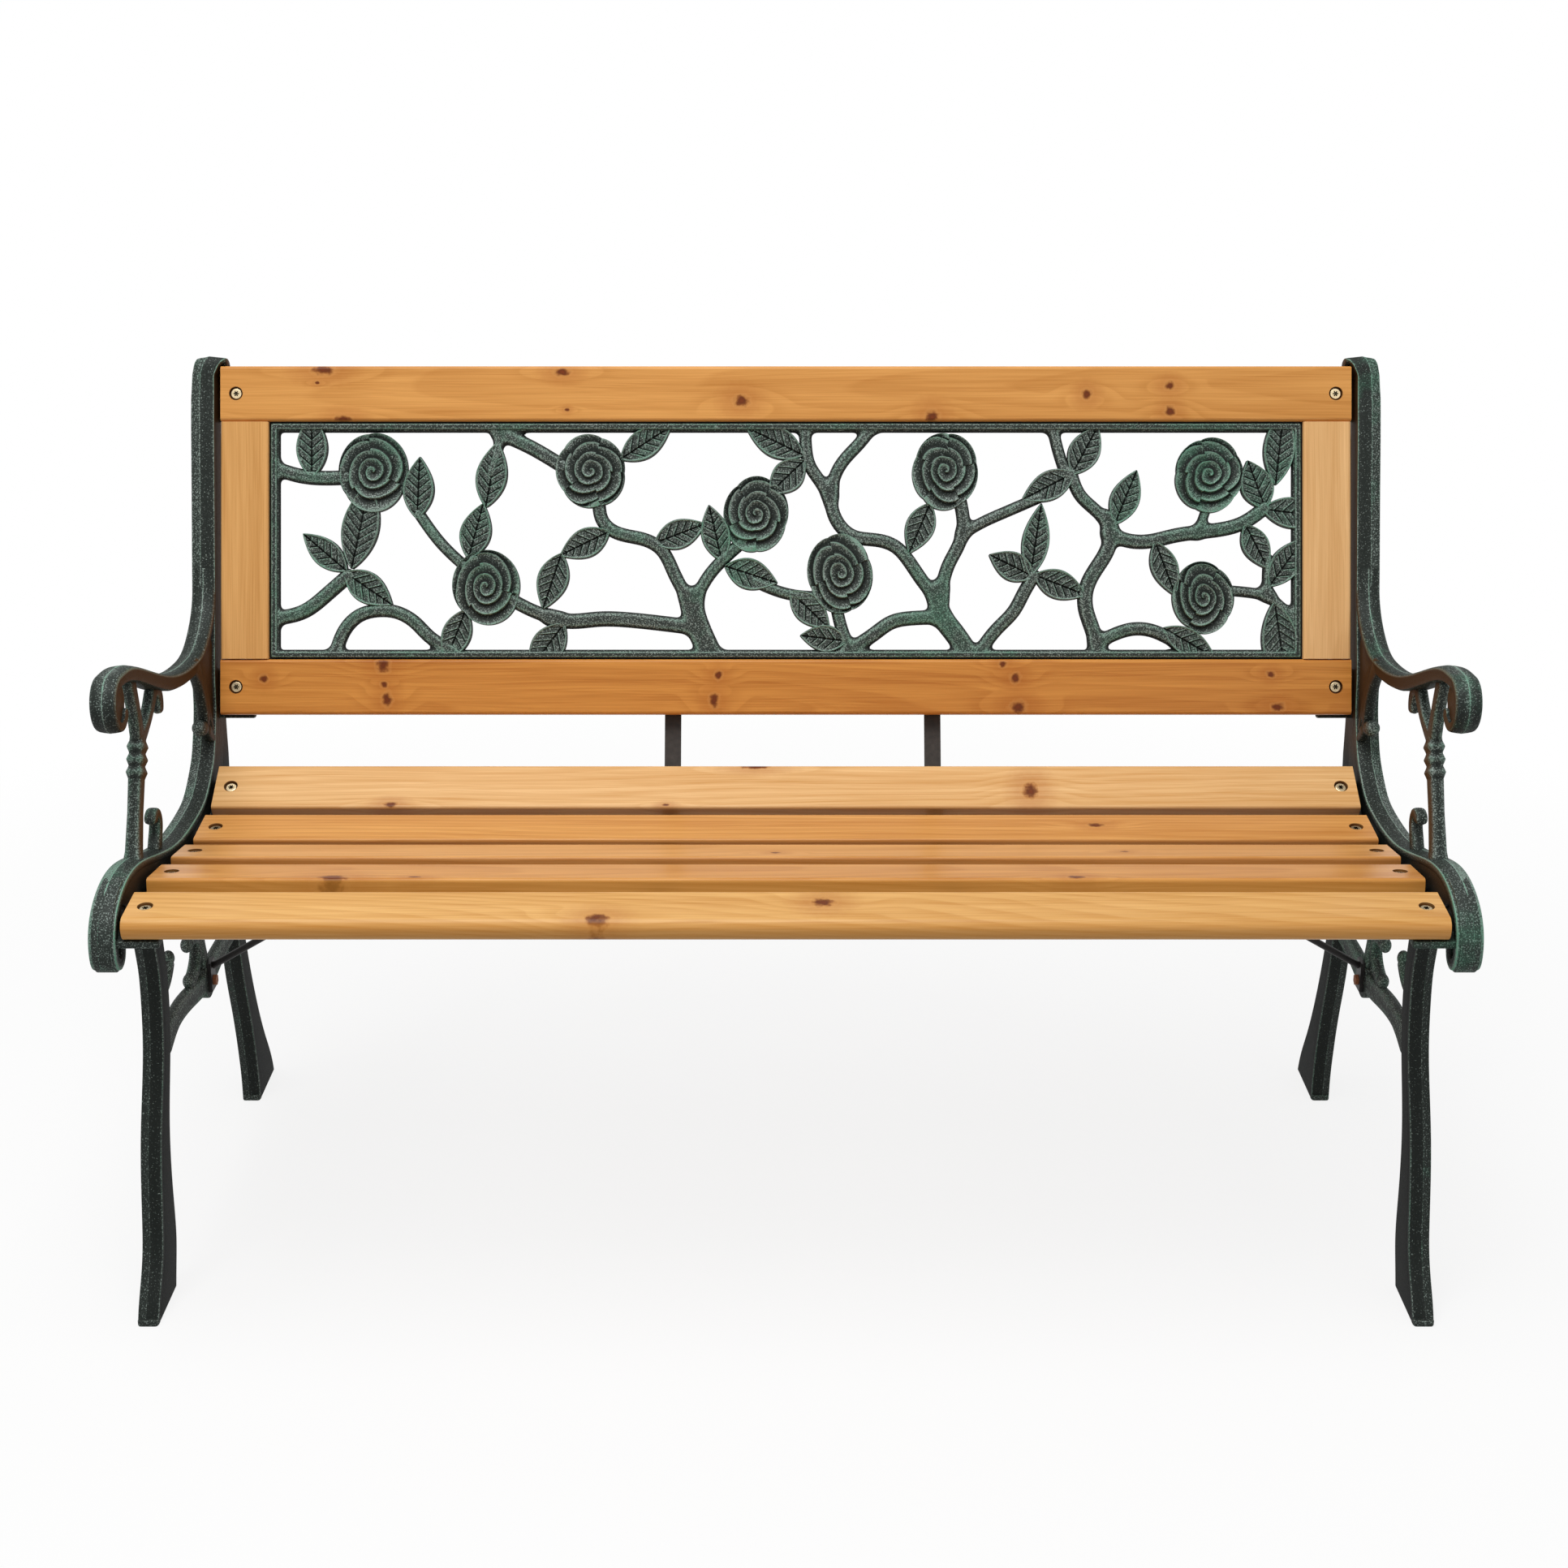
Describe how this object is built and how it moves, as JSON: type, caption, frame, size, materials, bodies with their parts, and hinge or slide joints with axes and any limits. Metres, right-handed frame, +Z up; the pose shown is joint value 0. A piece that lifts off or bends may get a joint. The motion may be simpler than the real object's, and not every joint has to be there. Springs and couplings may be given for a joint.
{
  "type": "garden bench",
  "caption": "Garden bench with scrolled cast-iron ends, a dished seat of wooden boards and a framed back with a cast rose-vine panel.",
  "frame": {"origin": "on the floor, at the middle of the bench's length and depth", "axes": "+X along the bench to the right of someone looking at its front, -Y the way the sitter faces, +Z up"},
  "size_m": [1.228, 0.5636, 0.829],
  "materials": {
    "cast_iron": "black paint with a hammered grain, green rubbed onto the raised edges",
    "pine": "honey-coloured varnish, satin, with knots",
    "beech": "plain",
    "black_steel": "black paint, satin",
    "zinc": "yellowish zinc plating, a little dull",
    "rusted_steel": "rusted"
  },
  "bodies": {
    "root": {"end_frame_left": "cast_iron", "end_frame_right": "cast_iron", "rose_panel": "cast_iron", "seat_slat_1": "pine", "seat_slat_2": "pine", "seat_slat_3": "pine", "seat_slat_4": "pine", "seat_slat_5": "pine", "back_bottom_rail": "pine", "back_top_rail": "pine", "back_stile_left": "pine", "back_stile_right": "pine", "stile_dowels": "beech", "support_strap_left": "black_steel", "support_strap_right": "black_steel", "brace_rod_left": "black_steel", "brace_rod_right": "black_steel", "seat_bolts": "zinc", "seat_washers": "zinc", "seat_nuts": "zinc", "back_bolts": "zinc", "back_washers": "zinc", "back_nuts": "zinc", "strap_screws": "zinc", "brace_screws": "zinc", "brace_bolts": "rusted_steel", "brace_nuts": "rusted_steel"}
  },
  "joints": []
}
